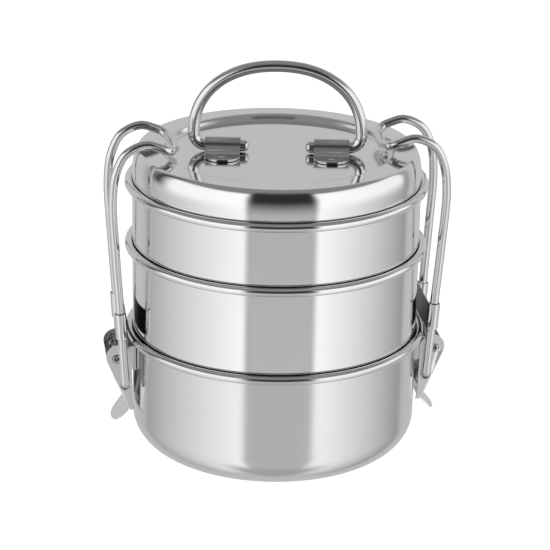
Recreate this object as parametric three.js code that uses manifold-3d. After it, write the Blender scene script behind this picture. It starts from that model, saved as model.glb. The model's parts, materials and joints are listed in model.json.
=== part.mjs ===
// Three-tier tiffin carrier: nested bowls, a recessed lid with a bail handle, and two over-centre clips.
// Millimetres, +Z up. The bottom bowl stands on z = 0, the clips are on +X and -X, the front is -Y.
import * as THREE from 'three';
import { mergeVertices } from 'three/addons/utils/BufferGeometryUtils.js';
import Module from 'manifold-3d';

const wasm = await Module();
wasm.setup();

// ---- driving dimensions ----
const BOWL_R = 70;              // outside radius of every bowl wall
const SHEET = 0.8;              // sheet thickness
const GAP = 0.3;                // running clearance between pieces
const BEAD_R = 2.15;            // rolled rim bead
const BEAD_OUT = 1.5;           // bead centre outside the wall's outer face
const BASE_CORNER = 16;         // rounded bottom corner of the bottom bowl
const RIM_Z = [58.7, 102.8, 134.2];  // bead centres: bottom, middle, top bowl
const FOOT_INSET = 1.3;         // nesting foot is this much narrower than the wall
const FOOT_DROP = 2.4;          // how far a foot reaches below the bead centre it sits in
const FOOT_CORNER = 2.5;
const LID_TOP_Z = 151;          // raised ring of the lid
const RING_OUT_R = 66;
const RING_IN_R = 56;
const RECESS = 3;               // depth of the lid's sunk disc
const LID_SIDE = 12;            // height of the lid's curved shoulder
const LID_TURN = -9;            // degrees that the lid is turned on the stack
const SEGMENTS = 40;            // round the axis

const HANDLE_WIRE = 2.85;       // radius
const HANDLE_HALF = 40.4;       // centre line, half width
const HANDLE_RISE = 39.9;       // centre line, above the axis
const HANDLE_END_X = 13.6;      // inner tips of the wire
const ELBOW = 6;
const STRAP_X = 26.2;
const STRAP_WIDTH = 17;
const STRAP_SHEET = 1;
const STRAP_FOOT = 14;          // length of each foot beyond the saddle

const PIVOT = [78.9, 48.1];     // lever pivot: distance from the axis, height
const WIRE_EYE = [74.9, 34];    // where the hook wire's ends enter the lever
const CLIP_WIRE = 2.15;         // radius
const LEG_Y = 14.85;            // wire legs beside the lever
const HOOK_Y = 16.5;            // wire legs above
const CHEEK_OUT = 11.9;         // outer face of the lever's cheeks
const CHEEK = 1;                // their thickness
const EAR = 1;                  // bracket ears
const PIN_R = 2;
const PIN_BORE = 1.2;
const PIN_HALF = 12.3;
const BAR = [50, LID_TOP_Z + CLIP_WIRE];  // crossbar of the hook, over the lid's recess
const LEG_TILT = 0.062;         // outward lean of the straight part of the legs
const LEG_STRAIGHT_Z = 78;
const SLEEVE_Z = [60.2, 73.2];
const SLEEVE_SHEET = 0.5;

// ---- materials ----
function steel(color, roughness) {
  return new THREE.MeshStandardMaterial({ color, roughness, metalness: 1 });
}
const polished = () => steel(0xc9cbcc, 0.08);
const wireSteel = () => steel(0xbfc2c4, 0.12);
const pressed = () => steel(0xb4b7ba, 0.18);

const group = new THREE.Group();
group.name = 'tiffin_carrier';

function add(parent, name, geometry, material) {
  const mesh = new THREE.Mesh(geometry, material);
  mesh.name = name;
  parent.add(mesh);
  return mesh;
}

// ---- shape helpers ----
// Points of an arc in a profile's plane, angles in degrees, anticlockwise when to > from.
function arc(cx, cy, rx, ry, from, to, steps) {
  const points = [];
  for (let i = 0; i <= steps; i += 1) {
    const a = THREE.MathUtils.degToRad(from + ((to - from) * i) / steps);
    points.push([cx + rx * Math.cos(a), cy + ry * Math.sin(a)]);
  }
  return points;
}

function anticlockwise(outline) {
  const points = outline.map(([x, y]) => new THREE.Vector2(x, y));
  return THREE.ShapeUtils.isClockWise(points) ? points.reverse() : points;
}

// A closed outline of [radius, height] turned round the Z axis.
function turned(outline) {
  const geometry = new THREE.LatheGeometry(anticlockwise(outline), SEGMENTS);
  geometry.rotateX(Math.PI / 2);
  return geometry;
}

// An outline in the X-Z plane, extruded along Y from y0 to y1.
function plate(outline, y0, y1, holes = []) {
  const shape = new THREE.Shape(anticlockwise(outline));
  for (const [x, z, r] of holes) {
    const hole = new THREE.Path();
    hole.absarc(x, z, r, 0, Math.PI * 2, true);
    shape.holes.push(hole);
  }
  const geometry = new THREE.ExtrudeGeometry(shape, {
    depth: y1 - y0,
    bevelEnabled: false,
    curveSegments: 10,
  });
  geometry.rotateX(Math.PI / 2);
  geometry.translate(0, y1, 0);
  return geometry;
}

// A round wire along a list of points, with flat ends. The ring is carried without twist.
function wire(points, radius, sides) {
  const count = points.length;
  const tangents = points.map((p, i) => {
    const before = points[Math.max(i - 1, 0)];
    const after = points[Math.min(i + 1, count - 1)];
    return after.clone().sub(before).normalize();
  });
  const positions = [];
  const index = [];
  const up = Math.abs(tangents[0].z) < 0.9 ? new THREE.Vector3(0, 0, 1) : new THREE.Vector3(1, 0, 0);
  const side = up.clone().cross(tangents[0]).normalize();
  for (let i = 0; i < count; i += 1) {
    if (i > 0) {
      const turn = new THREE.Quaternion().setFromUnitVectors(tangents[i - 1], tangents[i]);
      side.applyQuaternion(turn).normalize();
    }
    const other = tangents[i].clone().cross(side).normalize();
    for (let k = 0; k < sides; k += 1) {
      const a = (2 * Math.PI * k) / sides;
      const p = points[i].clone();
      p.addScaledVector(side, radius * Math.cos(a));
      p.addScaledVector(other, radius * Math.sin(a));
      positions.push(p.x, p.y, p.z);
    }
  }
  for (let i = 0; i < count - 1; i += 1) {
    for (let k = 0; k < sides; k += 1) {
      const a = i * sides + k;
      const b = i * sides + ((k + 1) % sides);
      index.push(a, b, b + sides, a, b + sides, a + sides);
    }
  }
  const last = (count - 1) * sides;
  for (let k = 1; k < sides - 1; k += 1) {
    index.push(0, k + 1, k);
    index.push(last, last + k, last + k + 1);
  }
  const geometry = new THREE.BufferGeometry();
  geometry.setAttribute('position', new THREE.Float32BufferAttribute(positions, 3));
  geometry.setIndex(index);
  return geometry;
}

// Points of a path of straight runs whose corners are rounded to the given radius.
function rounded(corners, radii, steps) {
  const points = [corners[0].clone()];
  for (let i = 1; i < corners.length - 1; i += 1) {
    const back = corners[i - 1].clone().sub(corners[i]).normalize();
    const on = corners[i + 1].clone().sub(corners[i]).normalize();
    const half = back.angleTo(on) / 2;
    const radius = radii[i - 1];
    const reach = radius / Math.tan(half);
    const middle = back.clone().add(on).normalize();
    const centre = corners[i].clone().addScaledVector(middle, radius / Math.sin(half));
    const start = corners[i].clone().addScaledVector(back, reach).sub(centre);
    const end = corners[i].clone().addScaledVector(on, reach).sub(centre);
    const sweep = start.angleTo(end);
    for (let k = 0; k <= steps; k += 1) {
      const t = k / steps;
      const p = start.clone().multiplyScalar(Math.sin((1 - t) * sweep));
      p.addScaledVector(end, Math.sin(t * sweep)).divideScalar(Math.sin(sweep));
      points.push(p.add(centre));
    }
  }
  points.push(corners[corners.length - 1].clone());
  return points;
}

function toManifold(geometry) {
  const bare = geometry.clone();
  bare.deleteAttribute('normal');
  bare.deleteAttribute('uv');
  const merged = mergeVertices(bare, 1e-4);
  const mesh = new wasm.Mesh({
    numProp: 3,
    vertProperties: new Float32Array(merged.attributes.position.array),
    triVerts: new Uint32Array(merged.index.array),
  });
  return new wasm.Manifold(mesh);
}

function fromManifold(solid) {
  const mesh = solid.getMesh();
  const geometry = new THREE.BufferGeometry();
  geometry.setAttribute('position', new THREE.Float32BufferAttribute(mesh.vertProperties, 3));
  geometry.setIndex(new THREE.Uint32BufferAttribute(mesh.triVerts, 1));
  geometry.computeVertexNormals();
  return geometry;
}

function joined(geometries) {
  return geometries.map(toManifold).reduce((whole, next) => whole.add(next));
}

// ---- bowls ----
const WALL_IN = BOWL_R - SHEET;
const FOOT_R = BOWL_R - FOOT_INSET;
const BEAD_C = BOWL_R + BEAD_OUT;
const LEDGE = BEAD_R - 0.15;    // a nesting shoulder's height above the bead centre it rests on

// The rolled rim, from the outer wall round the bead to the inner wall.
function rim(z) {
  const touch = THREE.MathUtils.radToDeg(Math.acos(-BEAD_OUT / BEAD_R));
  const outside = arc(BEAD_C, z, BEAD_R, BEAD_R, -touch, 90, 7);
  const inside = arc(BEAD_C, z, BEAD_C - WALL_IN, BEAD_R, 90, 180, 3);
  return [...outside, ...inside.slice(1)];
}

function bottomBowl() {
  const outer = BASE_CORNER;
  const inner = BASE_CORNER - SHEET;
  return turned([
    [0, SHEET],
    [0, 0],
    ...arc(BOWL_R - outer, outer, outer, outer, -90, 0, 6),
    ...rim(RIM_Z[0]),
    ...arc(BOWL_R - outer, outer, inner, inner, 0, -90, 6),
    [0, SHEET],
  ]);
}

// Outer face of the nesting foot and its shoulder, from the bottom up.
function footOutside(seat) {
  return [[FOOT_R, seat + LEDGE - 0.8], [BOWL_R, seat + LEDGE]];
}

function footInside(seat) {
  return [[WALL_IN, seat + LEDGE + 0.5], [FOOT_R - SHEET, seat + LEDGE - 0.4]];
}

function upperBowl(seat, rimZ) {
  const floor = seat - FOOT_DROP;
  const corner = FOOT_CORNER;
  const inner = corner - SHEET;
  return turned([
    [0, floor + SHEET],
    [0, floor],
    ...arc(FOOT_R - corner, floor + corner, corner, corner, -90, 0, 3),
    ...footOutside(seat),
    ...rim(rimZ),
    ...footInside(seat),
    ...arc(FOOT_R - corner, floor + corner, inner, inner, 0, -90, 3),
    [0, floor + SHEET],
  ]);
}

// ---- lid: one pressed sheet ----
const DISC_Z = LID_TOP_Z - RECESS;

function lidShell() {
  const seat = RIM_Z[2];
  const t = SHEET;
  const sideZ = LID_TOP_Z - LID_SIDE;
  const wide = BOWL_R - RING_OUT_R;
  return turned([
    [0, DISC_Z],
    [RING_IN_R - 2.4, DISC_Z],
    ...arc(RING_IN_R - 2.4, DISC_Z + 1, 1, 1, -90, -20, 2).slice(1),
    ...arc(RING_IN_R + 0.2, LID_TOP_Z - 1, 1.2, 1, 160, 90, 2),
    ...arc(RING_OUT_R, sideZ, wide, LID_SIDE, 90, 0, 7),
    [BOWL_R, seat + LEDGE],
    [FOOT_R, seat + LEDGE - 0.8],
    [FOOT_R, seat - FOOT_DROP],
    [FOOT_R - t, seat - FOOT_DROP],
    [FOOT_R - t, seat + LEDGE - 0.4],
    [WALL_IN, seat + LEDGE + 0.5],
    ...arc(RING_OUT_R, sideZ, wide - t, LID_SIDE - t, 0, 90, 7),
    [RING_IN_R + 0.6, LID_TOP_Z - t],
    [RING_IN_R - 1.6, DISC_Z - t],
    [0, DISC_Z - t],
    [0, DISC_Z],
  ]);
}

// ---- handle and its two saddle straps ----
const HANDLE_Z = DISC_Z + GAP + HANDLE_WIRE;

function handleWire() {
  const points = [new THREE.Vector3(-HANDLE_END_X, 0, 0)];
  const arch = [];
  const steps = 24;
  const fullness = 2 / 2.2;
  const low = ELBOW;
  for (let i = 0; i <= steps; i += 1) {
    const a = Math.PI - (Math.PI * i) / steps;
    const c = Math.cos(a);
    const s = Math.sin(a);
    const x = HANDLE_HALF * Math.sign(c) * Math.abs(c) ** fullness;
    const z = low + (HANDLE_RISE - low) * Math.abs(s) ** fullness;
    arch.push(new THREE.Vector3(x, 0, z));
  }
  const elbowX = HANDLE_HALF - ELBOW;
  for (const [x, z] of arc(-elbowX, ELBOW, ELBOW, ELBOW, 270, 180, 5)) {
    points.push(new THREE.Vector3(x, 0, z));
  }
  points.push(...arch.slice(1, -1));
  for (const [x, z] of arc(elbowX, ELBOW, ELBOW, ELBOW, 0, -90, 5)) {
    points.push(new THREE.Vector3(x, 0, z));
  }
  points.push(new THREE.Vector3(HANDLE_END_X, 0, 0));
  return wire(points, HANDLE_WIRE, 12);
}

// A strip bent over the wire: half-round saddle with a rounded flat foot before and behind.
function strap() {
  const inner = HANDLE_WIRE + GAP;
  const outer = inner + STRAP_SHEET;
  const bottom = DISC_Z + GAP;
  const z = HANDLE_Z;
  const end = outer + STRAP_FOOT;
  const side = [
    [-end, bottom],
    [-inner, bottom],
    ...arc(0, z, inner, inner, 180, 0, 8),
    [inner, bottom],
    [end, bottom],
    [end, bottom + STRAP_SHEET],
    [outer, bottom + STRAP_SHEET],
    ...arc(0, z, outer, outer, 0, 180, 8),
    [-outer, bottom + STRAP_SHEET],
    [-end, bottom + STRAP_SHEET],
  ];
  const strip = plate(side, -STRAP_WIDTH / 2, STRAP_WIDTH / 2);
  strip.rotateZ(Math.PI / 2);
  const half = STRAP_WIDTH / 2;
  const round = 7.5;
  const top = new THREE.Shape();
  top.moveTo(-half, -end + round);
  top.absarc(-half + round, -end + round, round, Math.PI, Math.PI * 1.5);
  top.absarc(half - round, -end + round, round, Math.PI * 1.5, Math.PI * 2);
  top.absarc(half - round, end - round, round, 0, Math.PI / 2);
  top.absarc(-half + round, end - round, round, Math.PI / 2, Math.PI);
  const cutter = new THREE.ExtrudeGeometry(top, { depth: 20, bevelEnabled: false, curveSegments: 6 });
  cutter.translate(0, 0, bottom - 5);
  return fromManifold(toManifold(strip).intersect(toManifold(cutter)));
}

// ---- clips, drawn on the +X side ----
const LEVER_TOP = [77.9, 48.9, 6.1];      // centre and radius of the cheek's round head
const LEVER_HEEL = [73.7, 22.3];          // where the thumb tab leaves the back of the lever
const LEVER_TIP = [70.4, 20.8];
const LEVER_WEB = 0.8;

function bracket() {
  const [px, pz] = PIVOT;
  const earOut = CHEEK_OUT - CHEEK - GAP;
  const head = PIN_R + 1.8;
  const inside = BOWL_R + GAP;
  const low = 41.5;
  const high = 54.2;
  const outline = [
    [inside - 0.4, low],
    ...arc(px, pz, head, head, -70, 84, 7),
    [inside - 0.4, high],
  ];
  const hole = [[px, pz, PIN_R + 0.2]];
  const ears = [
    plate(outline, earOut - EAR, earOut, hole),
    plate(outline, -earOut, EAR - earOut, hole),
  ];
  const steps = 6;
  const half = Math.asin(earOut / (inside + 0.5));
  const sector = new THREE.Shape();
  sector.absarc(0, 0, inside + 1, -half, half, false);
  sector.absarc(0, 0, inside, half, -half, true);
  const base = new THREE.ExtrudeGeometry(sector, {
    depth: high - low,
    bevelEnabled: false,
    curveSegments: steps,
  });
  base.translate(0, 0, low);
  const inner = new THREE.CylinderGeometry(inside, inside, 60, 4 * SEGMENTS);
  inner.rotateX(Math.PI / 2);
  inner.translate(0, 0, pz);
  return fromManifold(joined([...ears, base]).subtract(toManifold(inner)));
}

// A hollow rivet through ears and cheeks.
function pivotPin() {
  const end = PIN_R - 0.4;
  const pin = new THREE.LatheGeometry([
    new THREE.Vector2(PIN_BORE, -PIN_HALF),
    new THREE.Vector2(end, -PIN_HALF),
    new THREE.Vector2(PIN_R, -PIN_HALF + 0.4),
    new THREE.Vector2(PIN_R, PIN_HALF - 0.4),
    new THREE.Vector2(end, PIN_HALF),
    new THREE.Vector2(PIN_BORE, PIN_HALF),
    new THREE.Vector2(PIN_BORE, -PIN_HALF),
  ], 20);
  pin.translate(PIVOT[0], 0, PIVOT[1]);
  return pin;
}

// The lever: two cheeks joined by a slanting web, with a thumb tab turned outward below.
function lever() {
  const [cx, cz, r] = LEVER_TOP;
  const [hx, hz] = LEVER_HEEL;
  const head = arc(cx, cz, r, r, 180, -22, 12);
  const [wx, wz] = head[head.length - 1];
  const outline = [LEVER_TIP, [LEVER_TIP[0] + 0.6, 24], ...head, [hx, hz], [hx - 1.4, hz - 1.8]];
  const holes = [
    [...PIVOT, PIN_R + GAP],
    [...WIRE_EYE, CLIP_WIRE + GAP],
  ];
  const inner = CHEEK_OUT - CHEEK;
  const cheeks = [plate(outline, inner, CHEEK_OUT, holes), plate(outline, -CHEEK_OUT, -inner, holes)];
  const slope = new THREE.Vector2(hx - wx, hz - wz).normalize();
  const inward = new THREE.Vector2(slope.y, -slope.x).multiplyScalar(LEVER_WEB);
  const web = plate([
    [wx, wz],
    [wx + inward.x, wz + inward.y],
    [hx + inward.x, hz + inward.y],
    [hx, hz],
  ], -inner - 0.2, inner + 0.2);
  return fromManifold(joined([...cheeks, web]).add(thumbTab()));
}

// A rounded leaf that bends out from the web's lower end.
function thumbTab() {
  const [hx, hz] = LEVER_HEEL;
  const length = 10;
  const bend = [
    [hx - 0.6, hz + 2.2],
    [hx - 0.9, hz - 0.6],
    [hx + 0.6, hz - 3.4],
    [hx + 3.2, hz - 6.6],
    [hx + 7.2, hz - 10.6],
  ];
  const thick = 0.9;
  const outer = bend.map(([x, z]) => [x + thick * 0.78, z + thick * 0.62]);
  const strip = plate([...bend, ...outer.reverse()], -CHEEK_OUT, CHEEK_OUT);
  const leaf = new THREE.Shape();
  const half = CHEEK_OUT;
  const tip = 8.2;
  leaf.moveTo(-half, 6);
  leaf.lineTo(-half, 0.5);
  leaf.quadraticCurveTo(-half + 1.5, -3, -tip, -length + 5.5);
  leaf.quadraticCurveTo(-tip + 1.2, -length, 0, -length);
  leaf.quadraticCurveTo(tip - 1.2, -length, tip, -length + 5.5);
  leaf.quadraticCurveTo(half - 1.5, -3, half, 0.5);
  leaf.lineTo(half, 6);
  const cutter = new THREE.ExtrudeGeometry(leaf, { depth: 40, bevelEnabled: false, curveSegments: 6 });
  cutter.rotateX(Math.PI / 2);
  cutter.rotateZ(Math.PI / 2);
  cutter.translate(hx - 20, 0, hz);
  return toManifold(strip).intersect(toManifold(cutter));
}

function legAt(z) {
  return WIRE_EYE[0] + LEG_TILT * (z - WIRE_EYE[1]);
}

// One closed-ended wire: bent-in ends in the lever, two legs, an arch over the lid and the crossbar.
function hookWire() {
  const topZ = LEG_STRAIGHT_Z;
  const [barX, barZ] = BAR;
  const arch = new THREE.CatmullRomCurve3([
    new THREE.Vector3(legAt(topZ), LEG_Y, topZ),
    new THREE.Vector3(79.4, 15.7, 104),
    new THREE.Vector3(80.7, HOOK_Y, 131),
    new THREE.Vector3(79, HOOK_Y, 144.5),
    new THREE.Vector3(74.2, HOOK_Y, 154),
    new THREE.Vector3(65, HOOK_Y, 158.4),
    new THREE.Vector3(57.4, HOOK_Y, 156.6),
    new THREE.Vector3(barX, HOOK_Y, barZ),
  ], false, 'centripetal');
  const up = [];
  const pieces = 26;
  for (let i = 0; i < pieces - 2; i += 1) {
    up.push(arch.getPointAt(i / pieces));
  }
  const bend = 2.3;
  const leg = rounded([
    new THREE.Vector3(WIRE_EYE[0], 9.9, WIRE_EYE[1]),
    new THREE.Vector3(WIRE_EYE[0], LEG_Y, WIRE_EYE[1]),
    up[0],
  ], [bend], 5);
  const near = up[up.length - 1];
  const corner = new THREE.Vector3(barX, HOOK_Y, barZ);
  const turn = rounded([near, corner, new THREE.Vector3(barX, 0, barZ)], [3.4], 5);
  const half = [...leg, ...up.slice(1), ...turn.slice(1)];
  const other = half.slice(0, -1).reverse().map((p) => new THREE.Vector3(p.x, -p.y, p.z));
  return wire([...half, ...other], CLIP_WIRE, 8);
}

// A plate whose two side edges are rolled into sleeves round the legs.
function linkPlate() {
  const bore = CLIP_WIRE + GAP;
  const outer = bore + SLEEVE_SHEET;
  const [z0, z1] = SLEEVE_Z;
  const tall = z1 - z0;
  const tube = (y) => {
    const ring = new THREE.Shape();
    ring.absarc(0, 0, outer, 0, Math.PI * 2, false);
    const hole = new THREE.Path();
    hole.absarc(0, 0, bore, 0, Math.PI * 2, true);
    ring.holes.push(hole);
    const geometry = new THREE.ExtrudeGeometry(ring, {
      depth: tall,
      bevelEnabled: false,
      curveSegments: 9,
    });
    geometry.translate(0, y, 0);
    return geometry;
  };
  const sheet = new THREE.BoxGeometry(SLEEVE_SHEET, 2 * LEG_Y, tall);
  sheet.translate(SLEEVE_SHEET / 2 - outer, 0, tall / 2);
  const geometry = fromManifold(joined([tube(LEG_Y), tube(-LEG_Y), sheet]));
  geometry.rotateY(Math.atan(LEG_TILT));
  geometry.translate(legAt(z0), 0, z0);
  return geometry;
}

// ---- assembly ----
const stack = new THREE.Group();
stack.name = 'stack';
group.add(stack);
add(stack, 'bottom_bowl', bottomBowl(), polished());
add(stack, 'middle_bowl', upperBowl(RIM_Z[0], RIM_Z[1]), polished());
add(stack, 'top_bowl', upperBowl(RIM_Z[1], RIM_Z[2]), polished());

const lidGroup = new THREE.Group();
lidGroup.name = 'lid_group';
lidGroup.rotation.z = THREE.MathUtils.degToRad(LID_TURN);
group.add(lidGroup);
add(lidGroup, 'lid', lidShell(), polished());
const handle = add(lidGroup, 'handle', handleWire(), wireSteel());
handle.position.z = HANDLE_Z;
for (const [side, x] of [['left', -STRAP_X], ['right', STRAP_X]]) {
  const saddle = add(lidGroup, `handle_strap_${side}`, strap(), pressed());
  saddle.position.x = x;
}

for (const [side, turn] of [['left', Math.PI], ['right', 0]]) {
  const clip = new THREE.Group();
  clip.name = `clip_${side}`;
  clip.rotation.z = turn;
  group.add(clip);
  add(clip, `clip_bracket_${side}`, bracket(), pressed());
  add(clip, `pivot_pin_${side}`, pivotPin(), wireSteel());
  add(clip, `lever_${side}`, lever(), pressed());
  add(clip, `hook_wire_${side}`, hookWire(), wireSteel());
  add(clip, `link_plate_${side}`, linkPlate(), pressed());
}

export default group;
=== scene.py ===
"""Three-tier steel tiffin carrier: fine meshes, polished steel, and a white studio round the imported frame."""

import json
import math

import bmesh
import bpy
import numpy as np
from mathutils import Matrix, Vector


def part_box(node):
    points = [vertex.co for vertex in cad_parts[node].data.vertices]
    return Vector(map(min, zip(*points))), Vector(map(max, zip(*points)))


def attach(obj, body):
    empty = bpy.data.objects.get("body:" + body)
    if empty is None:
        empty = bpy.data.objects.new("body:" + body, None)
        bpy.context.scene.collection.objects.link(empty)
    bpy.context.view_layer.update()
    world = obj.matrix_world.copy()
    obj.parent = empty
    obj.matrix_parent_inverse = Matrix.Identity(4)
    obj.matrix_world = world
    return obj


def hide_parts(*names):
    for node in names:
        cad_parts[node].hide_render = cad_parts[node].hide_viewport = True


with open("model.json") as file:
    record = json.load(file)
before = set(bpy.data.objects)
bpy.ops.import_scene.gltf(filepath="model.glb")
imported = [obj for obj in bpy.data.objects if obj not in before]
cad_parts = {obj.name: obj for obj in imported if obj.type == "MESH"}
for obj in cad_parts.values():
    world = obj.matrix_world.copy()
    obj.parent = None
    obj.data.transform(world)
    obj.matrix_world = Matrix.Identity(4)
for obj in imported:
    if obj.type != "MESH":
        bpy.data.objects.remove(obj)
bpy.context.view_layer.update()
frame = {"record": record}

# ---- dimensions, in millimetres ----
MM = 0.001
SHEET = 0.8                 # bowls and lid
BEAD_R = 2.15               # rolled rims
BEAD_OUT = 1.5
FOOT_INSET = 1.3
FOOT_DROP = 2.4
FOOT_CORNER = 2.5
BASE_CORNER = 16
RECESS = 3
LID_SIDE = 12
RING_IN = 56
RING_OUT = 66
HANDLE_WIRE = 2.85
HANDLE_HALF = 40.4
HANDLE_RISE = 39.9
HANDLE_END = 13.6
ELBOW = 6
STRAP_WIDTH = 17
STRAP_SHEET = 1
STRAP_FOOT = 14
STRAP_CORNER = 7.5
WELD_BALL = 4.2             # the dimple of a spot weld: radius of the ball that presses it
WELD_DEPTH = 0.35
WELD_OUT = 9.2              # beyond the saddle
FLARE_END = 11              # where the bend from the saddle meets the flat foot
GAP = 0.3                   # between pieces
SEAM = 0.22                 # left open where a rim's roll meets the wall
CLIP_WIRE = 2.15
LEG_Y = 14.85
HOOK_Y = 16.5
HOOK_END = 9.9              # where the wire ends, inside the lever
CHEEK_OUT = 11.9
CHEEK = 1
PIN_R = 2
PIN_BORE = 1.2
PIN_HALF = 12.3
LEVER_HEAD = (77.9, 48.9, 6.1)
LEVER_HEEL = (73.7, 22.3)
LEVER_TIP = (70.4, 20.8)
LEVER_WEB = 0.8
LEG_TILT = 0.062
LEG_STRAIGHT_Z = 78
BRACKET_Z = (41.5, 54.2)
SLEEVE_Z = (60.2, 73.2)
SLEEVE_SHEET = 0.5
BAR_X = 50
ROUND = 288                 # steps round the axis


def extent(node):
    low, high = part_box(node)
    return np.array(low) / MM, np.array(high) / MM


RIM_Z = [extent(name)[1][2] - BEAD_R for name in ("bottom_bowl", "middle_bowl", "top_bowl")]
BOWL_R = extent("middle_bowl")[1][0] - BEAD_R - BEAD_OUT
LID_TOP = extent("lid")[1][2]
DISC_Z = LID_TOP - RECESS
HANDLE_Z = DISC_Z + GAP + HANDLE_WIRE
joints = {j["name"]: j for j in frame["record"]["behaviour"]["joints"]}
handle_axis = joints["handle_swing"]["axis"]
LID_TURN = math.atan2(handle_axis[1], handle_axis[0])
PIVOT = (joints["lever_right_open"]["pos_m"][0] / MM, joints["lever_right_open"]["pos_m"][2] / MM)
EYE = (joints["hook_right_swing"]["pos_m"][0] / MM, joints["hook_right_swing"]["pos_m"][2] / MM)


# ---- mesh helpers ----
def arc(cx, cy, rx, ry, start, end, steps):
    angles = np.radians(np.linspace(start, end, steps + 1))
    return [(cx + rx * math.cos(a), cy + ry * math.sin(a)) for a in angles]


def supported(outline, margin=0.35):
    """Adds a point near each end of every long straight run, so that flat walls shade flat."""
    points = []
    for a, b in zip(outline, outline[1:] + outline[:1]):
        points.append(a)
        run = math.dist(a, b)
        if run > 5 * margin:
            for t in (margin / run, 1 - margin / run):
                points.append((a[0] + (b[0] - a[0]) * t, a[1] + (b[1] - a[1]) * t))
    return points


def finish_mesh(name, bm, sharp=38):
    bmesh.ops.recalc_face_normals(bm, faces=bm.faces)
    bmesh.ops.scale(bm, vec=(MM, MM, MM), verts=bm.verts)
    mesh = bpy.data.meshes.new(name)
    bm.to_mesh(mesh)
    bm.free()
    mesh.shade_smooth()
    mesh.set_sharp_from_angle(angle=math.radians(sharp))
    obj = bpy.data.objects.new(name, mesh)
    bpy.context.scene.collection.objects.link(obj)
    return obj


def turned(outline, steps=ROUND, turn=0.0):
    """A closed outline of (radius, height) turned round Z; points at radius 0 become one vertex."""
    bm = bmesh.new()
    rings = []
    for r, z in outline:
        if r < 1e-6:
            rings.append([bm.verts.new((0, 0, z))])
        else:
            angles = [turn + 2 * math.pi * k / steps for k in range(steps)]
            rings.append([bm.verts.new((r * math.cos(a), r * math.sin(a), z)) for a in angles])
    for low, high in zip(rings, rings[1:] + rings[:1]):
        if len(low) == 1 and len(high) == 1:
            continue
        for k in range(steps):
            n = (k + 1) % steps
            corners = [low[k % len(low)], low[n % len(low)], high[n % len(high)], high[k % len(high)]]
            bm.faces.new(list(dict.fromkeys(corners)))
    return bm


def slab(outline, y0, y1, bevel=0.25, segments=3):
    """An outline in the X-Z plane, extruded along Y, with rounded edges."""
    bm = bmesh.new()
    near = [bm.verts.new((x, y0, z)) for x, z in outline]
    far = [bm.verts.new((x, y1, z)) for x, z in outline]
    caps = [bm.faces.new(near), bm.faces.new(list(reversed(far)))]
    count = len(outline)
    for k in range(count):
        n = (k + 1) % count
        bm.faces.new((near[n], near[k], far[k], far[n]))
    edges = list({edge for cap in caps for edge in cap.edges})
    if bevel:
        bmesh.ops.bevel(bm, geom=edges, offset=bevel, segments=segments, profile=0.5,
                        affect="EDGES", clamp_overlap=True)
    return bm


def swept(path, radius, sides=28, round_end=0.5):
    """A round wire along a path, its ends slightly rounded."""
    path = [Vector(p) for p in path]
    count = len(path)
    tangents = [(path[min(i + 1, count - 1)] - path[max(i - 1, 0)]).normalized() for i in range(count)]
    stations = [(path[i], tangents[i], radius) for i in range(count)]
    steps = 8
    first = [(path[0] + tangents[0] * round_end * (1 - math.sin(a)), tangents[0],
              radius - round_end * (1 - math.cos(a)))
             for a in np.radians(np.linspace(90, 0, steps + 1))]
    last = [(path[-1] - tangents[-1] * round_end * (1 - math.sin(a)), tangents[-1],
             radius - round_end * (1 - math.cos(a)))
            for a in np.radians(np.linspace(0, 90, steps + 1))]
    stations = first + stations[1:-1] + last
    bm = bmesh.new()
    up = Vector((0, 0, 1)) if abs(tangents[0].z) < 0.9 else Vector((1, 0, 0))
    side = up.cross(tangents[0]).normalized()
    before = tangents[0]
    rings = []
    for point, tangent, r in stations:
        side = (before.rotation_difference(tangent) @ side).normalized()
        other = tangent.cross(side).normalized()
        before = tangent
        angles = [2 * math.pi * k / sides for k in range(sides)]
        rings.append([bm.verts.new(point + side * r * math.cos(a) + other * r * math.sin(a)) for a in angles])
    for low, high in zip(rings, rings[1:]):
        for k in range(sides):
            n = (k + 1) % sides
            bm.faces.new((low[k], low[n], high[n], high[k]))
    bm.faces.new(list(reversed(rings[0])))
    bm.faces.new(rings[-1])
    return bm


def combined(first, second, operation):
    """Boolean of two bmeshes; both are used up."""
    bmesh.ops.recalc_face_normals(first, faces=first.faces)
    bmesh.ops.recalc_face_normals(second, faces=second.faces)
    objects = []
    for bm in (first, second):
        mesh = bpy.data.meshes.new("working")
        bm.to_mesh(mesh)
        bm.free()
        obj = bpy.data.objects.new("working", mesh)
        bpy.context.scene.collection.objects.link(obj)
        objects.append(obj)
    modifier = objects[0].modifiers.new("join", "BOOLEAN")
    modifier.operation = operation
    modifier.solver = "EXACT"
    modifier.object = objects[1]
    graph = bpy.context.evaluated_depsgraph_get()
    result = bmesh.new()
    result.from_object(objects[0], graph)
    for obj in objects:
        mesh = obj.data
        bpy.data.objects.remove(obj)
        bpy.data.meshes.remove(mesh)
    bmesh.ops.remove_doubles(result, verts=result.verts, dist=0.002)
    return result


def round_bar(x, z, radius, half=20, steps=64):
    """A round bar along Y, to cut holes with."""
    bm = turned([(0, -half), (radius, -half), (radius, half), (0, half)], steps)
    bmesh.ops.rotate(bm, verts=bm.verts, matrix=Matrix.Rotation(math.pi / 2, 3, "X"))
    bmesh.ops.translate(bm, verts=bm.verts, vec=(x, 0, z))
    return bm


def turned_about_z(bm, angle):
    bmesh.ops.rotate(bm, verts=bm.verts, matrix=Matrix.Rotation(angle, 3, "Z"))
    return bm


def placed(obj, node, body, material):
    obj.data.materials.clear()
    obj.data.materials.append(material)
    weighted = obj.modifiers.new("face_weighted", "WEIGHTED_NORMAL")
    weighted.keep_sharp = True
    weighted.weight = 80
    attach(obj, body)
    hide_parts(node)
    return obj


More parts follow.
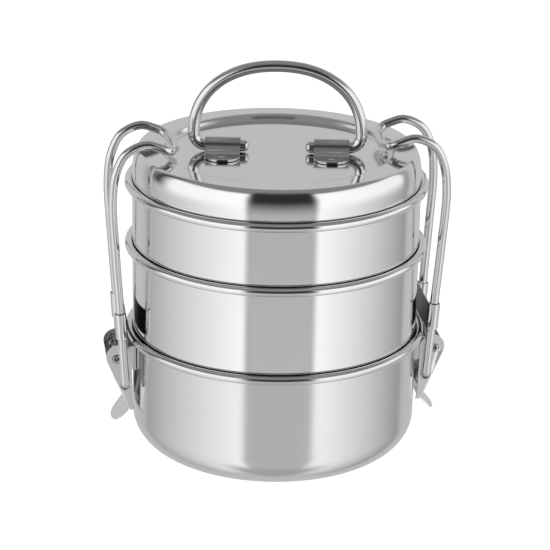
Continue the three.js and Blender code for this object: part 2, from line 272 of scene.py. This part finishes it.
# ---- materials ----
class Nodes:
    """A few shorthands for building a node tree."""

    def __init__(self, tree):
        self.tree = tree

    def add(self, kind, **settings):
        node = self.tree.nodes.new(kind)
        for key, value in settings.items():
            setattr(node, key, value)
        return node

    def link(self, source, target):
        if isinstance(source, (int, float, tuple)):
            target.default_value = source
        else:
            self.tree.links.new(source, target)

    def math(self, operation, a, b=0.0, c=0.0, clamp=False):
        node = self.add("ShaderNodeMath", operation=operation, use_clamp=clamp)
        for socket, value in zip(node.inputs, (a, b, c)):
            self.link(value, socket)
        return node.outputs[0]

    def spread(self, value, low, high, to_low=0.0, to_high=1.0, kind="LINEAR"):
        node = self.add("ShaderNodeMapRange", interpolation_type=kind)
        for socket, source in zip(node.inputs, (value, low, high, to_low, to_high)):
            self.link(source, socket)
        return node.outputs[0]

    def noise(self, vector, scale, detail=2.0, roughness=0.5):
        node = self.add("ShaderNodeTexNoise")
        self.link(vector, node.inputs["Vector"])
        node.inputs["Scale"].default_value = scale
        node.inputs["Detail"].default_value = detail
        node.inputs["Roughness"].default_value = roughness
        return node.outputs["Fac"]

    def combine(self, x, y, z):
        node = self.add("ShaderNodeCombineXYZ")
        for socket, value in zip(node.inputs, (x, y, z)):
            self.link(value, socket)
        return node.outputs[0]


def steel(name, tone, gloss, grain, grain_depth, wear, lathe):
    """Polished steel with polishing lines, faint scuffs and cloudy handling marks.

    lathe: the polishing lines run round the axis; otherwise they run along the object's Z."""
    material = bpy.data.materials.new(name)
    material.use_nodes = True
    n = Nodes(material.node_tree)
    shader = n.tree.nodes["Principled BSDF"]
    where = n.add("ShaderNodeTexCoord").outputs["Object"]
    split = n.add("ShaderNodeSeparateXYZ")
    n.link(where, split.inputs[0])
    x, y, z = split.outputs
    if lathe:
        radius = n.math("SQRT", n.math("ADD", n.math("MULTIPLY", x, x), n.math("MULTIPLY", y, y)))
        angle = n.math("ARCTAN2", y, x)
        along = n.combine(radius, n.math("MULTIPLY", angle, 0.004), z)
    else:
        along = n.combine(x, y, n.math("MULTIPLY", z, 0.06))
    lines = n.noise(along, grain, 3.0, 0.65)
    fine = n.noise(along, grain * 3.1, 2.0, 0.5)
    cloud = n.noise(where, 38.0, 3.0, 0.55)
    broad = n.noise(where, 9.0, 1.0, 0.4)

    # Faint scuffs: thin level lines of a stretched noise, only in patches.
    stretch = n.add("ShaderNodeMapping")
    n.link(where, stretch.inputs["Vector"])
    stretch.inputs["Rotation"].default_value = (0.5, 0.3, 0.8)
    stretch.inputs["Scale"].default_value = (1.0, 0.12, 1.0)
    ridge = n.math("ABSOLUTE", n.math("SUBTRACT", n.noise(stretch.outputs[0], 210.0, 3.0, 0.6), 0.5))
    scuff = n.spread(ridge, 0.0, 0.012, 1.0, 0.0)
    patches = n.spread(cloud, 0.52, 0.68)
    scuff = n.math("MULTIPLY", scuff, n.math("MULTIPLY", patches, wear))

    rough = n.math("ADD", gloss, n.spread(cloud, 0.35, 0.75, -0.012, 0.03))
    rough = n.math("ADD", rough, n.spread(lines, 0.3, 0.7, -0.01, 0.012))
    rough = n.math("ADD", rough, n.math("MULTIPLY", scuff, 0.12), clamp=True)
    n.link(rough, shader.inputs["Roughness"])

    shade = n.math("ADD", tone, n.spread(lines, 0.3, 0.7, -0.008, 0.008))
    shade = n.math("ADD", shade, n.spread(broad, 0.3, 0.7, -0.008, 0.008))
    shade = n.math("SUBTRACT", shade, n.math("MULTIPLY", scuff, 0.05))
    colour = n.add("ShaderNodeCombineColor")
    n.link(shade, colour.inputs[0])
    n.link(shade, colour.inputs[1])
    n.link(n.math("ADD", shade, 0.003), colour.inputs[2])
    n.link(colour.outputs[0], shader.inputs["Base Color"])

    height = n.math("ADD", n.math("MULTIPLY", lines, 0.6), n.math("MULTIPLY", fine, 0.4))
    height = n.math("SUBTRACT", height, n.math("MULTIPLY", scuff, 0.8))
    bump = n.add("ShaderNodeBump")
    bump.inputs["Strength"].default_value = 1.0
    bump.inputs["Distance"].default_value = grain_depth
    n.link(height, bump.inputs["Height"])
    n.link(bump.outputs[0], shader.inputs["Normal"])
    shader.inputs["Metallic"].default_value = 1.0
    return material


BASE_STEEL = steel("base_steel", 0.75, 0.15, 900.0, 1.2e-7, 0.6, True)
BOWL_STEEL = steel("bowl_steel", 0.80, 0.085, 900.0, 1.2e-7, 0.5, True)
LID_STEEL = steel("lid_steel", 0.80, 0.075, 900.0, 1.2e-7, 0.5, True)
WIRE_STEEL = steel("wire_steel", 0.72, 0.12, 1400.0, 4e-7, 0.8, False)
STRIP_STEEL = steel("strip_steel", 0.74, 0.16, 1200.0, 6e-7, 1.0, False)
LEVER_STEEL = steel("lever_steel", 0.86, 0.28, 1200.0, 6e-7, 1.0, False)
SADDLE_STEEL = steel("saddle_steel", 0.56, 0.17, 1200.0, 9e-7, 1.0, False)
SHADE_PAINT = steel("painted_shade_black", 0.02, 0.32, 1200.0, 6e-7, 1.0, False)
# The painted-shade one is near-black and not metal: painted shade and painted dark reflection for the link
# plates' faces that look at the bowls.
painted_shade_shader = SHADE_PAINT.node_tree.nodes["Principled BSDF"]
painted_shade_shader.inputs["Metallic"].default_value = 0.0
painted_shade_shader.inputs["Specular IOR Level"].default_value = 0.25


# ---- bowls ----
WALL_IN = BOWL_R - SHEET
FOOT_R = BOWL_R - FOOT_INSET
LEDGE = BEAD_R - 0.15


def rim(z):
    """The rolled rim: the sheet curls outward and back to the wall, where a narrow seam stays open."""
    centre = BOWL_R + BEAD_OUT
    touch = math.degrees(math.acos((SEAM - BEAD_OUT) / BEAD_R))
    bead = arc(centre, z, BEAD_R, BEAD_R, -touch, 90, 40)
    inside = arc(centre, z, centre - WALL_IN, BEAD_R, 90, 180, 18)
    under = bead[0][1]
    return [(BOWL_R, under - 0.15), (BOWL_R, under + 0.75), (BOWL_R + SEAM, under + 0.75), *bead, *inside[1:]]


def bottom_outline():
    inner = BASE_CORNER - SHEET
    return [
        (0, 0),
        *arc(BOWL_R - BASE_CORNER, BASE_CORNER, BASE_CORNER, BASE_CORNER, -90, 0, 36),
        *rim(RIM_Z[0]),
        *arc(BOWL_R - BASE_CORNER, BASE_CORNER, inner, inner, 0, -90, 36),
        (0, SHEET),
    ]


def eased(points, reach=0.45, steps=4):
    """Rounds the inner points of a short path with small curves."""
    result = [points[0]]
    for a, b, c in zip(points, points[1:], points[2:]):
        back = min(reach, math.dist(a, b) / 2)
        on = min(reach, math.dist(b, c) / 2)
        start = tuple(b[i] + (a[i] - b[i]) * back / math.dist(a, b) for i in range(2))
        end = tuple(b[i] + (c[i] - b[i]) * on / math.dist(b, c) for i in range(2))
        for k in range(steps + 1):
            t = k / steps
            weights = ((1 - t) ** 2, 2 * t * (1 - t), t * t)
            result.append(tuple(sum(w * p[i] for w, p in zip(weights, (start, b, end))) for i in range(2)))
    return result + [points[-1]]


def upper_outline(seat, rim_z):
    floor = seat - FOOT_DROP
    inner = FOOT_CORNER - SHEET
    foot = [
        *eased([
            (FOOT_R, floor + FOOT_CORNER),
            (FOOT_R, seat + LEDGE - 0.8),
            (BOWL_R - 0.6, seat + LEDGE - 0.2),
        ]),
        *eased([
            (BOWL_R - 0.5, seat + LEDGE - 0.1),
            (BOWL_R, seat + LEDGE + 0.3),
            (BOWL_R, seat + LEDGE + 3),
        ], 1.4, 8)[1:],
    ]
    inside = eased([
        (WALL_IN, seat + LEDGE + 3.5),
        (WALL_IN, seat + LEDGE + 0.5),
        (FOOT_R - SHEET, seat + LEDGE - 0.4),
        (FOOT_R - SHEET, floor + FOOT_CORNER),
    ])
    return [
        (0, floor),
        *arc(FOOT_R - FOOT_CORNER, floor + FOOT_CORNER, FOOT_CORNER, FOOT_CORNER, -90, 0, 14)[:-1],
        *foot,
        *rim(rim_z),
        *inside,
        *arc(FOOT_R - FOOT_CORNER, floor + FOOT_CORNER, inner, inner, 0, -90, 14)[1:],
        (0, floor + SHEET),
    ]


def lid_outline():
    seat = RIM_Z[2]
    side_z = LID_TOP - LID_SIDE
    wide = BOWL_R - RING_OUT
    top = eased([
        (RING_IN - 8, DISC_Z),
        (RING_IN - 2.1, DISC_Z),
        (RING_IN - 0.6, LID_TOP - 0.55),
        (RING_IN + 0.6, LID_TOP),
        (RING_IN + 6, LID_TOP),
    ], 0.7, 6)
    foot = eased([
        (BOWL_R, seat + LEDGE + 2),
        (BOWL_R, seat + LEDGE),
        (FOOT_R, seat + LEDGE - 0.8),
        (FOOT_R, seat - FOOT_DROP + 0.4),
    ])
    return [
        (0, DISC_Z),
        *top,
        *arc(RING_OUT, side_z, wide, LID_SIDE, 90, 0, 44),
        *foot,
        (FOOT_R - 0.1, seat - FOOT_DROP + 0.1),
        (FOOT_R - 0.3, seat - FOOT_DROP),
        (FOOT_R - SHEET + 0.2, seat - FOOT_DROP),
        (FOOT_R - SHEET, seat - FOOT_DROP + 0.2),
        (FOOT_R - SHEET, seat + LEDGE - 0.4),
        (WALL_IN, seat + LEDGE + 0.5),
        *arc(RING_OUT, side_z, wide - SHEET, LID_SIDE - SHEET, 0, 90, 30),
        (RING_IN + 0.6, LID_TOP - SHEET),
        (RING_IN - 1.6, DISC_Z - SHEET),
        (0, DISC_Z - SHEET),
    ]


def stack_pieces():
    outlines = {
        "bottom_bowl": bottom_outline(),
        "middle_bowl": upper_outline(RIM_Z[0], RIM_Z[1]),
        "top_bowl": upper_outline(RIM_Z[1], RIM_Z[2]),
        "lid": lid_outline(),
    }
    for node, outline in outlines.items():
        obj = finish_mesh(node + "_spun", turned(supported(outline)))
        material = {"lid": LID_STEEL, "bottom_bowl": BASE_STEEL}.get(node, BOWL_STEEL)
        placed(obj, node, node, material)


# ---- handle and straps ----
def handle_path():
    fullness = 2 / 2.2
    x_elbow = HANDLE_HALF - ELBOW
    arch = []
    for a in np.linspace(math.pi, 0, 121):
        c, s = math.cos(a), math.sin(a)
        x = HANDLE_HALF * math.copysign(abs(c) ** fullness, c)
        arch.append((x, 0, ELBOW + (HANDLE_RISE - ELBOW) * abs(s) ** fullness))
    left = [(x, 0, z) for x, z in arc(-x_elbow, ELBOW, ELBOW, ELBOW, 270, 180, 16)]
    right = [(x, 0, z) for x, z in arc(x_elbow, ELBOW, ELBOW, ELBOW, 0, -90, 16)]
    start, end = (-HANDLE_END, 0, 0), (HANDLE_END, 0, 0)
    return [start, (-HANDLE_END - 3, 0, 0), *left, *arch[1:-1], *right, (HANDLE_END + 3, 0, 0), end]


def handle_piece():
    bm = swept(handle_path(), HANDLE_WIRE, 36, 2.2)
    bmesh.ops.translate(bm, verts=bm.verts, vec=(0, 0, HANDLE_Z))
    turned_about_z(bm, LID_TURN)
    placed(finish_mesh("bail_handle", bm), "handle", "handle", WIRE_STEEL)


def strap_pieces():
    inner = HANDLE_WIRE + GAP
    outer = inner + STRAP_SHEET
    low = DISC_Z + GAP
    end = outer + STRAP_FOOT
    # The bend from the saddle down to the foot, along the saddle's own tangent at 25 degrees.
    lean_deg = 25
    lean = math.radians(lean_deg)
    leave = (outer * math.cos(lean), HANDLE_Z + outer * math.sin(lean))
    knee = (leave[0] + (leave[1] - low - STRAP_SHEET) * math.tan(lean), low + STRAP_SHEET)
    flare = []
    for k in range(16):
        t = k / 16
        a, b, c = (1 - t) ** 2, 2 * t * (1 - t), t * t
        flare.append((a * FLARE_END + b * knee[0] + c * leave[0], (a + b) * knee[1] + c * leave[1]))
    side = [
        (-end, low),
        *eased([(-end + 1, low), (-inner, low), (-inner, HANDLE_Z)], 0.5)[1:-1],
        *arc(0, HANDLE_Z, inner, inner, 180, 0, 32),
        *eased([(inner, HANDLE_Z), (inner, low), (end - 1, low)], 0.5)[1:-1],
        (end, low),
        (end, low + STRAP_SHEET),
        *flare,
        *arc(0, HANDLE_Z, outer, outer, lean_deg, 180 - lean_deg, 28),
        *[(-x, z) for x, z in reversed(flare)],
        (-end, low + STRAP_SHEET),
    ]
    half = STRAP_WIDTH / 2
    corner = STRAP_CORNER
    # The cutter is a hair wider and shorter than the strip, so that no faces coincide.
    across = half - corner + 0.02
    along = end - corner - 0.02
    plan = [
        *arc(across, along, corner, corner, 0, 90, 16),
        *arc(-across, along, corner, corner, 90, 180, 16),
        *arc(-across, -along, corner, corner, 180, 270, 16),
        *arc(across, -along, corner, corner, 270, 360, 16),
    ]
    for name in ("left", "right"):
        least, most = extent(f"handle_strap_{name}")
        middle = (least[:2] + most[:2]) / 2
        strip = slab(side, -half, half, 0.4)
        bmesh.ops.rotate(strip, verts=strip.verts, matrix=Matrix.Rotation(math.pi / 2, 3, "Z"))
        cutter = slab(plan, -30, 30, 0)
        bmesh.ops.rotate(cutter, verts=cutter.verts, matrix=Matrix.Rotation(math.pi / 2, 3, "X"))
        bmesh.ops.translate(cutter, verts=cutter.verts, vec=(0, 0, HANDLE_Z))
        strap = combined(strip, cutter, "INTERSECT")
        for y in (-1, 1):
            dimple = turned(arc(0, 0, WELD_BALL, WELD_BALL, -90, 90, 24), 48)
            centre = (0, y * (outer + WELD_OUT), low + STRAP_SHEET + WELD_BALL - WELD_DEPTH)
            bmesh.ops.translate(dimple, verts=dimple.verts, vec=centre)
            strap = combined(strap, dimple, "DIFFERENCE")
        turned_about_z(strap, LID_TURN)
        bmesh.ops.translate(strap, verts=strap.verts, vec=(middle[0], middle[1], 0))
        obj = finish_mesh(f"saddle_strap_{name}", strap, 32)
        placed(obj, f"handle_strap_{name}", "lid", SADDLE_STEEL)


# ---- clips, drawn on the +X side ----
def leg_at(z):
    return EYE[0] + LEG_TILT * (z - EYE[1])


def centripetal(points, count):
    """Points at even distances along a centripetal Catmull-Rom curve."""
    points = [Vector(p) for p in points]
    points = [points[0] * 2 - points[1], *points, points[-1] * 2 - points[-2]]
    dense = []
    for p0, p1, p2, p3 in zip(points, points[1:], points[2:], points[3:]):
        d0, d1, d2 = (max((b - a).length ** 0.5, 1e-4) for a, b in ((p0, p1), (p1, p2), (p2, p3)))
        t1 = ((p1 - p0) / d0 - (p2 - p0) / (d0 + d1) + (p2 - p1) / d1) * d1
        t2 = ((p2 - p1) / d1 - (p3 - p1) / (d1 + d2) + (p3 - p2) / d2) * d1
        for t in np.linspace(0, 1, 60, endpoint=False):
            a = 2 * p1 - 2 * p2 + t1 + t2
            b = -3 * p1 + 3 * p2 - 2 * t1 - t2
            dense.append(a * t ** 3 + b * t ** 2 + t1 * t + p1)
    dense.append(points[-2])
    lengths = np.concatenate([[0], np.cumsum([(b - a).length for a, b in zip(dense, dense[1:])])])
    wanted = np.linspace(0, lengths[-1], count + 1)
    columns = [np.interp(wanted, lengths, [p[i] for p in dense]) for i in range(3)]
    return [Vector(p) for p in zip(*columns)]


def corner_arc(before, corner, after, radius, steps=10):
    """Rounds the corner of a path. Known fault: slerp gives unit vectors, so the arc drawn has a radius of 1
    and not `radius`. It starts and ends inside the corner instead of on its two sides."""
    back = (before - corner).normalized()
    on = (after - corner).normalized()
    half = back.angle(on) / 2
    reach = radius / math.tan(half)
    centre = corner + (back + on).normalized() * (radius / math.sin(half))
    start = corner + back * reach - centre
    end = corner + on * reach - centre
    return [centre + start.slerp(end, k / steps) for k in range(steps + 1)]


def hook_path():
    bar_z = LID_TOP + CLIP_WIRE
    arch = centripetal([
        (leg_at(LEG_STRAIGHT_Z), LEG_Y, LEG_STRAIGHT_Z),
        (79.4, 15.7, 104),
        (80.7, HOOK_Y, 131),
        (79, HOOK_Y, 144.5),
        (74.2, HOOK_Y, 154),
        (65, HOOK_Y, 158.4),
        (57.4, HOOK_Y, 156.6),
        (BAR_X, HOOK_Y, bar_z),
    ], 104)
    up = arch[:100]
    leg = [Vector((EYE[0], HOOK_END, EYE[1])), Vector((EYE[0], 10.6, EYE[1]))]
    leg += corner_arc(leg[0], Vector((EYE[0], LEG_Y, EYE[1])), up[0], 2.3)
    corner = Vector((BAR_X, HOOK_Y, bar_z))
    up = [p for p in up if (p - corner).length > 4.2]
    turn = corner_arc(up[-1], corner, Vector((BAR_X, 0, bar_z)), 3.4)
    half = leg + up + turn + [Vector((BAR_X, 6, bar_z))]
    other = [Vector((p.x, -p.y, p.z)) for p in reversed(half)]
    return half + other


def lever_mesh():
    cx, cz, r = LEVER_HEAD
    hx, hz = LEVER_HEEL
    head = arc(cx, cz, r, r, 180, -22, 60)
    wx, wz = head[-1]
    outline = [LEVER_TIP, (LEVER_TIP[0] + 0.6, 24), *head, (hx, hz), (hx - 1.4, hz - 1.8)]
    inner = CHEEK_OUT - CHEEK
    outer_solid = slab(outline, -CHEEK_OUT, CHEEK_OUT, 0.6, 4)
    run = Vector((hx - wx, hz - wz)).normalized()
    inward = Vector((run.y, -run.x)) * LEVER_WEB
    below = Vector((hx, hz)) + inward + run * 9
    above = Vector((wx, wz)) + inward - run * 9
    beyond = (40, 75)           # far enough in and up to leave the channel open there
    channel = [tuple(below), tuple(above), (above.x, beyond[1]), beyond, (beyond[0], below.y)]
    hollow = slab(channel, -inner, inner, 0.45, 4)
    shell = combined(outer_solid, hollow, "DIFFERENCE")
    shell = combined(shell, round_bar(PIVOT[0], PIVOT[1], PIN_R + GAP), "DIFFERENCE")
    shell = combined(shell, round_bar(EYE[0], EYE[1], CLIP_WIRE + GAP), "DIFFERENCE")
    return combined(shell, tab_mesh(), "UNION")


def tab_mesh():
    """The thumb tab: a leaf of sheet that bends out from the web's lower end."""
    hx, hz = LEVER_HEEL
    bend = centripetal([
        (hx - 0.6, 0, hz + 2.2),
        (hx - 0.9, 0, hz - 0.6),
        (hx + 0.6, 0, hz - 3.4),
        (hx + 3.2, 0, hz - 6.6),
        (hx + 6.9, 0, hz - 10.0),
    ], 36)
    bm = bmesh.new()
    across = 24
    thick = 0.9
    rows = {0: [], 1: []}
    for i, p in enumerate(bend):
        ahead = bend[min(i + 1, len(bend) - 1)] - bend[max(i - 1, 0)]
        normal = Vector((-ahead.z, 0, ahead.x)).normalized()
        t = i / (len(bend) - 1)
        if t < 0.3:
            half = CHEEK_OUT - 0.5
        else:
            s = (t - 0.3) / 0.7
            rounding = max(1 - max(0.0, (s - 0.45) / 0.55) ** 2.6, 0.02)
            half = (CHEEK_OUT - 0.5) * (1 - 0.28 * s) * math.sqrt(rounding)
        for face in (0, 1):
            shift = normal * (thick * face)
            row = []
            for k in range(across + 1):
                v = -1 + 2 * k / across
                dish = normal * (0.35 * v * v * min(t * 2, 1))
                row.append(bm.verts.new(p + shift + dish + Vector((0, v * half, 0))))
            rows[face].append(row)
    for face in (0, 1):
        for low, high in zip(rows[face], rows[face][1:]):
            for k in range(across):
                bm.faces.new((low[k], low[k + 1], high[k + 1], high[k]))
    for i in range(len(bend) - 1):
        for k in (0, across):
            a, b = rows[0][i][k], rows[0][i + 1][k]
            c, d = rows[1][i + 1][k], rows[1][i][k]
            bm.faces.new((a, b, c, d))
    for i in (0, len(bend) - 1):
        for k in range(across):
            bm.faces.new((rows[0][i][k], rows[0][i][k + 1], rows[1][i][k + 1], rows[1][i][k]))
    return bm


def pin_mesh():
    bore = PIN_BORE
    half = PIN_HALF
    bm = turned([
        (bore, -half + 0.15),
        (bore + 0.15, -half),
        (PIN_R - 0.3, -half),
        (PIN_R - 0.1, -half + 0.1),
        (PIN_R, -half + 0.35),
        (PIN_R, half - 0.35),
        (PIN_R - 0.1, half - 0.1),
        (PIN_R - 0.3, half),
        (bore + 0.15, half),
        (bore, half - 0.15),
    ], 48)
    bmesh.ops.rotate(bm, verts=bm.verts, matrix=Matrix.Rotation(math.pi / 2, 3, "X"))
    bmesh.ops.translate(bm, verts=bm.verts, vec=(PIVOT[0], 0, PIVOT[1]))
    return bm


def paint_shade_on_bowl_side(obj, turn):
    """Gives the faces that look at the bowls near-black painted shade, standing in for their dark reflection.
    """
    obj.data.materials.append(SHADE_PAINT)
    inward = Vector((-math.cos(turn), -math.sin(turn), 0))
    for face in obj.data.polygons:
        if face.normal.dot(inward) > 0.9:
            face.material_index = 1


def link_mesh():
    bore = CLIP_WIRE + GAP
    outer = bore + SLEEVE_SHEET
    tall = SLEEVE_Z[1] - SLEEVE_Z[0]
    tubes = []
    for y in (LEG_Y, -LEG_Y):
        tube = turned([
            (bore, 0.15), (bore + 0.15, 0), (outer - 0.25, 0), (outer - 0.07, 0.07), (outer, 0.25),
            (outer, tall - 0.25), (outer - 0.07, tall - 0.07), (outer - 0.25, tall), (bore + 0.15, tall),
            (bore, tall - 0.15),
        ], 48)
        bmesh.ops.translate(tube, verts=tube.verts, vec=(0, y, 0))
        tubes.append(tube)
    sheet = slab([(-outer, 0), (-outer, tall), (SLEEVE_SHEET - outer, tall), (SLEEVE_SHEET - outer, 0)],
                 -LEG_Y, LEG_Y, 0)
    whole = combined(combined(sheet, tubes[0], "UNION"), tubes[1], "UNION")
    for y in (LEG_Y, -LEG_Y):
        bar = turned([(0, -5), (bore, -5), (bore, tall + 5), (0, tall + 5)], 48)
        bmesh.ops.translate(bar, verts=bar.verts, vec=(0, y, 0))
        whole = combined(whole, bar, "DIFFERENCE")
    bmesh.ops.rotate(whole, verts=whole.verts, matrix=Matrix.Rotation(math.atan(LEG_TILT), 3, "Y"))
    bmesh.ops.translate(whole, verts=whole.verts, vec=(leg_at(SLEEVE_Z[0]), 0, SLEEVE_Z[0]))
    return whole


def bracket_mesh():
    px, pz = PIVOT
    ear_out = CHEEK_OUT - CHEEK - GAP
    head = PIN_R + 1.8
    inside = BOWL_R + GAP
    low, high = BRACKET_Z
    outline = [(inside + 0.2, low), *arc(px, pz, head, head, -70, 84, 36), (inside + 0.2, high)]
    bands = [
        slab(outline, ear_out - 1, ear_out, 0.2),
        slab(outline, -ear_out, 1 - ear_out, 0.2),
    ]
    half = math.asin(ear_out / (inside + 0.5))
    plan = arc(0, 0, inside + 1, inside + 1, -math.degrees(half), math.degrees(half), 24)
    plan += arc(0, 0, inside, inside, math.degrees(half), -math.degrees(half), 24)
    base = slab(plan, -high, -low, 0)
    bmesh.ops.rotate(base, verts=base.verts, matrix=Matrix.Rotation(-math.pi / 2, 3, "X"))
    whole = combined(combined(base, bands[0], "UNION"), bands[1], "UNION")
    return combined(whole, round_bar(px, pz, PIN_R + 0.2), "DIFFERENCE")


def clip_pieces():
    makers = [
        ("clip_bracket", "bracket", "bottom_bowl", "pressed_strip", STRIP_STEEL, bracket_mesh),
        ("pivot_pin", "pin", "bottom_bowl", "wire", WIRE_STEEL, pin_mesh),
        ("lever", "thumb_lever", "lever", "pressed_strip", LEVER_STEEL, lever_mesh),
        ("hook_wire", "hook_loop", "hook", "wire", WIRE_STEEL, lambda: swept(hook_path(), CLIP_WIRE, 28)),
        ("link_plate", "sleeve_plate", "hook", "pressed_strip", STRIP_STEEL, link_mesh),
    ]
    for side, turn in (("left", math.pi), ("right", 0.0)):
        for node, name, body, slot, material, make in makers:
            bm = turned_about_z(make(), turn)
            obj = finish_mesh(f"{name}_{side}", bm, 32)
            on = body if body == "bottom_bowl" else f"{body}_{side}"
            placed(obj, f"{node}_{side}", on, material)
            # The link plates' bowl-side faces get near-black painted shade.
            if node == "link_plate":
                paint_shade_on_bowl_side(obj, turn)


stack_pieces()
handle_piece()
strap_pieces()
clip_pieces()


# ---- camera ----
LOOK_AT = Vector((0, 0, 0.0849))
CAMERA_DISTANCE = 1.1551
CAMERA_RISE = math.radians(20.44)
CAMERA_TURN = math.radians(8.0)       # towards -X from straight in front
CAMERA_ROLL = math.radians(1.0)
CAMERA_LENS = 153.7
SENSOR_WIDTH = 36

direction = Vector((
    -math.cos(CAMERA_RISE) * math.sin(CAMERA_TURN),
    -math.cos(CAMERA_RISE) * math.cos(CAMERA_TURN),
    math.sin(CAMERA_RISE),
))
camera_data = bpy.data.cameras.new("camera")
camera_data.sensor_width = SENSOR_WIDTH
camera_data.lens = CAMERA_LENS
camera = bpy.data.objects.new("camera", camera_data)
bpy.context.scene.collection.objects.link(camera)
aim = direction.to_track_quat("Z", "Y").to_matrix().to_4x4()
roll = Matrix.Rotation(CAMERA_ROLL, 4, "Z")
camera.matrix_world = Matrix.Translation(LOOK_AT + direction * CAMERA_DISTANCE) @ aim @ roll
bpy.context.scene.camera = camera


# ---- studio ----
# The studio is a ring of soft panels round the object, fixed in the world. Each row: name, middle and half
# width in azimuth, middle and half height in elevation, softness of the edges both ways, and the brightness
# at the lower and at the higher azimuth. Angles are in degrees; azimuth 0 is the side that CAMERA_TURN gives.
PANELS = [
    # name, azimuth, half, elevation, half, soft_az, soft_el, at_low, at_high
    ("table", 180, 200, -80, 45, 12, 14, 0.62, 0.62),
    ("back_wall", 180, 58, -5, 50, 12, 10, 0.60, 0.60),
    ("left_softbox", -72, 50, -20, 52, 4, 8, 0.46, 1.20),
    ("right_softbox", 78, 47, -20, 52, 4, 8, 1.22, 0.36),
    ("left_high", -66, 44, 12, 19, 4, 8, 1.10, 1.25),
    ("right_high", 74, 43, 12, 19, 4, 8, 1.25, 1.05),
    ("front_gap", 4.8, 26.2, -45, 60, 4.5, 10, 0.57, 0.57),
    ("front_low", 4.2, 50, -85, 35, 12, 12, 0.46, 0.46),
    ("dark_flag", -106, 9, 20, 26, 9, 8, 0.06, 0.06),
    ("lens_side", 4.8, 26.2, 20.5, 27.5, 5, 17, 0.033, 0.033),
]
AMBIENT = 0.27
FLOOR_GLOW = 0.78           # keeps the floor as white as the backdrop


def studio_world():
    world = bpy.data.worlds.new("studio")
    bpy.context.scene.world = world
    world.use_nodes = True
    n = Nodes(world.node_tree)
    background = n.tree.nodes["Background"]
    split = n.add("ShaderNodeSeparateXYZ")
    n.link(n.add("ShaderNodeTexCoord").outputs["Generated"], split.inputs[0])
    x, y, z = split.outputs
    sine, cosine = math.sin(CAMERA_TURN), math.cos(CAMERA_TURN)
    front = n.math("ADD", n.math("MULTIPLY", x, -sine), n.math("MULTIPLY", y, -cosine))
    side = n.math("ADD", n.math("MULTIPLY", x, cosine), n.math("MULTIPLY", y, -sine))
    azimuth = n.math("MULTIPLY", n.math("ARCTAN2", side, front), 180 / math.pi)
    elevation = n.math("MULTIPLY", n.math("ARCSINE", z), 180 / math.pi)
    value = AMBIENT
    for _, az, az_half, el, el_half, az_soft, el_soft, at_low, at_high in PANELS:
        turned_az = n.math("WRAP", n.math("SUBTRACT", azimuth, float(az)), 180.0, -180.0)
        off_az = n.math("ABSOLUTE", turned_az)
        off_el = n.math("ABSOLUTE", n.math("SUBTRACT", elevation, float(el)))
        in_az = n.spread(off_az, az_half - az_soft, az_half + az_soft, 1.0, 0.0, "SMOOTHSTEP")
        in_el = n.spread(off_el, el_half - el_soft, el_half + el_soft, 1.0, 0.0, "SMOOTHSTEP")
        mask = n.math("MULTIPLY", in_az, in_el)
        brightness = n.spread(turned_az, -az_half, az_half, at_low, at_high)
        kept = n.math("MULTIPLY", value, n.math("SUBTRACT", 1.0, mask))
        value = n.math("ADD", kept, n.math("MULTIPLY", mask, brightness))
    # Seen directly, the backdrop is plain white like the floor.
    direct = n.add("ShaderNodeLightPath").outputs["Is Camera Ray"]
    shown = n.math("ADD", n.math("MULTIPLY", value, n.math("SUBTRACT", 1.0, direct)), direct)
    n.link(shown, background.inputs["Color"])
    background.inputs["Strength"].default_value = 1.0


def studio_floor():
    outline = [(50 * 1.28 ** k, -0.05) for k in range(24)]
    floor_bm = turned([(0, -0.05), *outline, (outline[-1][0], -40), (0, -40)], 96)
    floor = finish_mesh("floor", floor_bm)
    material = bpy.data.materials.new("floor_paper")
    material.use_nodes = True
    n = Nodes(material.node_tree)
    shader = n.tree.nodes["Principled BSDF"]
    shader.inputs["Base Color"].default_value = (0.9, 0.9, 0.9, 1)
    shader.inputs["Roughness"].default_value = 0.9
    shader.inputs["Specular IOR Level"].default_value = 0.0
    shader.inputs["Emission Color"].default_value = (1, 1, 1, 1)
    shader.inputs["Emission Strength"].default_value = FLOOR_GLOW
    floor.data.materials.append(material)
    floor.visible_glossy = False


studio_world()
studio_floor()
bpy.context.scene.view_settings.view_transform = "Standard"
